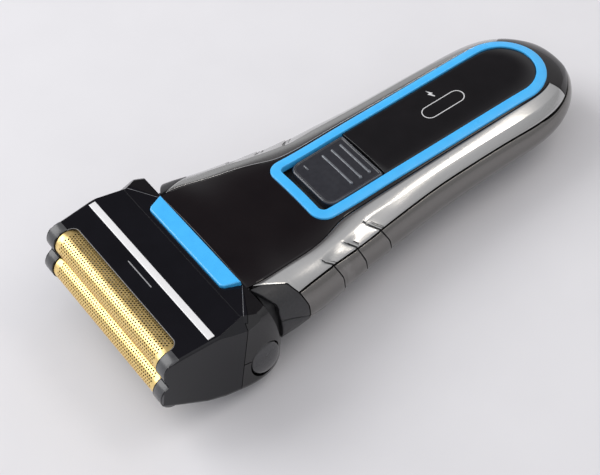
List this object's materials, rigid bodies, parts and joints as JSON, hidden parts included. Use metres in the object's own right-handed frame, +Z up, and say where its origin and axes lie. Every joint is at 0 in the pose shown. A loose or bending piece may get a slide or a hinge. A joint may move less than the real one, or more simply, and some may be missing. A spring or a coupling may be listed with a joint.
{
  "type": "electric shaver",
  "caption": "Cordless foil shaver with a wide tilted head, gold foils, tapering rounded handle, slide switch, side release buttons and a fold-out trimmer at the back.",
  "frame": {"origin": "on the table plane, under the centre of the bounding box, with the shaver lying on its back", "axes": "+X across the width, +Y along the handle away from the head, +Z up out of the front face"},
  "size_m": [0.0646, 0.158, 0.0303],
  "materials": {
    "black_gloss": "glossy moulded black",
    "lens_black": "smoked glossy window",
    "dark_matt": "fine matt texture",
    "shoulder_grey": "satin dark grey",
    "gunmetal": "metallic gunmetal lacquer",
    "gunmetal_low": "darker gunmetal lacquer",
    "blue": "sky blue, glossy",
    "print_white": "printed light grey",
    "inner_black": "plain black moulding",
    "slider_grey": "smoked translucent grey",
    "board_green": "green board with solder mask",
    "lamp_clear": "clear lamp",
    "cell_wrap": "shrink sleeve",
    "nickel": "nickel strip",
    "motor_steel": "plated can",
    "shaft_steel": "ground steel",
    "acetal_white": "white acetal",
    "cutter_steel": "ground blades",
    "spring_steel": "spring wire",
    "dark_gloss": "semi-gloss dark grey",
    "button_grey": "satin dark grey",
    "strip_silver": "bright silver strip",
    "foil_gold": "gold-plated perforated foil",
    "pin_brass": "plated pins",
    "screw_steel": "black zinc screws"
  },
  "bodies": {
    "handle": {"rail_left": "gunmetal", "rail_right": "gunmetal", "shoulder_left": "shoulder_grey", "shoulder_right": "shoulder_grey", "side_band": "gunmetal_low", "back_shell": "gunmetal_low", "shoulder_back": "shoulder_grey", "front_panel": "black_gloss", "trim_ring": "blue", "status_lens": "lens_black", "charge_outline": "print_white", "switch_bed": "inner_black", "circuit_board": "board_green", "slide_contact": "inner_black", "charge_lamp": "lamp_clear", "battery_cell": "cell_wrap", "battery_tab_near": "nickel", "battery_tab_far": "nickel", "motor_can": "motor_steel", "neck_core": "inner_black", "head_base": "dark_gloss", "neck_bar": "blue", "button_spring_left": "spring_steel", "button_spring_right": "spring_steel", "charging_inlet": "inner_black", "inlet_pins": "pin_brass", "back_screws": "screw_steel", "trimmer_pin": "shaft_steel"},
    "slider": {"slide_switch": "slider_grey"},
    "button_left": {"release_button_left": "button_grey"},
    "button_right": {"release_button_right": "button_grey"},
    "rotor": {"motor_shaft": "shaft_steel", "cam_disc": "acetal_white"},
    "bridge": {"drive_bridge": "acetal_white", "cutter_spring_front": "spring_steel", "cutter_spring_rear": "spring_steel"},
    "cutter_front": {"cutter_front": "cutter_steel"},
    "cutter_rear": {"cutter_rear": "cutter_steel"},
    "cover": {"head_cover": "black_gloss", "bright_strip": "strip_silver", "index_mark": "print_white"},
    "foil_front": {"foil_front": "foil_gold", "foil_frame_front": "inner_black"},
    "foil_rear": {"foil_rear": "foil_gold", "foil_frame_rear": "inner_black"},
    "trimmer": {"trimmer_carriage": "dark_matt", "trimmer_comb": "cutter_steel"},
    "trimmer_blade": {"trimmer_blade": "cutter_steel"}
  },
  "joints": [
    {"name": "switch_slide", "type": "slide", "parent": "handle", "child": "slider", "axis": [0, -1, 0], "range_m": [0, 0.0022]},
    {"name": "button_left_press", "type": "slide", "parent": "handle", "child": "button_left", "axis": [1, 0, 0], "range_m": [0, 0.0013], "stiffness_N_per_m": 500, "springref_m": -0.001, "deforming": ["button_spring_left"]},
    {"name": "button_right_press", "type": "slide", "parent": "handle", "child": "button_right", "axis": [-1, 0, 0], "range_m": [0, 0.0013], "stiffness_N_per_m": 500, "springref_m": -0.001, "deforming": ["button_spring_right"]},
    {"name": "motor_spin", "type": "hinge", "parent": "handle", "child": "rotor", "pos_m": [0, -0.04177, 0.015], "axis": [0, 1, 0], "continuous": true},
    {"name": "bridge_swing", "type": "slide", "parent": "handle", "child": "bridge", "axis": [1, 0, 0], "range_m": [-0.0012, 0.0012], "stiffness_N_per_m": 300},
    {"name": "cutter_front_float", "type": "slide", "parent": "bridge", "child": "cutter_front", "axis": [0, 0.9681, -0.2504], "range_m": [0, 0.0012], "stiffness_N_per_m": 300, "springref_m": -0.001, "deforming": ["cutter_spring_front"]},
    {"name": "cutter_rear_float", "type": "slide", "parent": "bridge", "child": "cutter_rear", "axis": [0, 0.9681, -0.2504], "range_m": [0, 0.0012], "stiffness_N_per_m": 300, "springref_m": -0.001, "deforming": ["cutter_spring_rear"]},
    {"name": "cover_lift", "type": "slide", "parent": "handle", "child": "cover", "axis": [0, -0.9681, 0.2504], "range_m": [0, 0.03]},
    {"name": "foil_front_float", "type": "slide", "parent": "cover", "child": "foil_front", "axis": [0, 0.9681, -0.2504], "range_m": [0, 0.0012], "stiffness_N_per_m": 300, "springref_m": -0.001},
    {"name": "foil_rear_float", "type": "slide", "parent": "cover", "child": "foil_rear", "axis": [0, 0.9681, -0.2504], "range_m": [0, 0.0012], "stiffness_N_per_m": 300, "springref_m": -0.001},
    {"name": "trimmer_open", "type": "hinge", "parent": "handle", "child": "trimmer", "pos_m": [0, -0.00617, 0.0039], "axis": [1, 0, 0], "range_deg": [0, 40]},
    {"name": "trimmer_blade_slide", "type": "slide", "parent": "trimmer", "child": "trimmer_blade", "axis": [1, 0, 0], "range_m": [-0.0008, 0.0008]}
  ],
  "couplings": [
    {"joint": "cutter_front_float", "follows": "foil_front_float", "ratio": 1},
    {"joint": "cutter_rear_float", "follows": "foil_rear_float", "ratio": 1},
    {"joint": "trimmer_blade_slide", "follows": "bridge_swing", "ratio": 0.6}
  ]
}
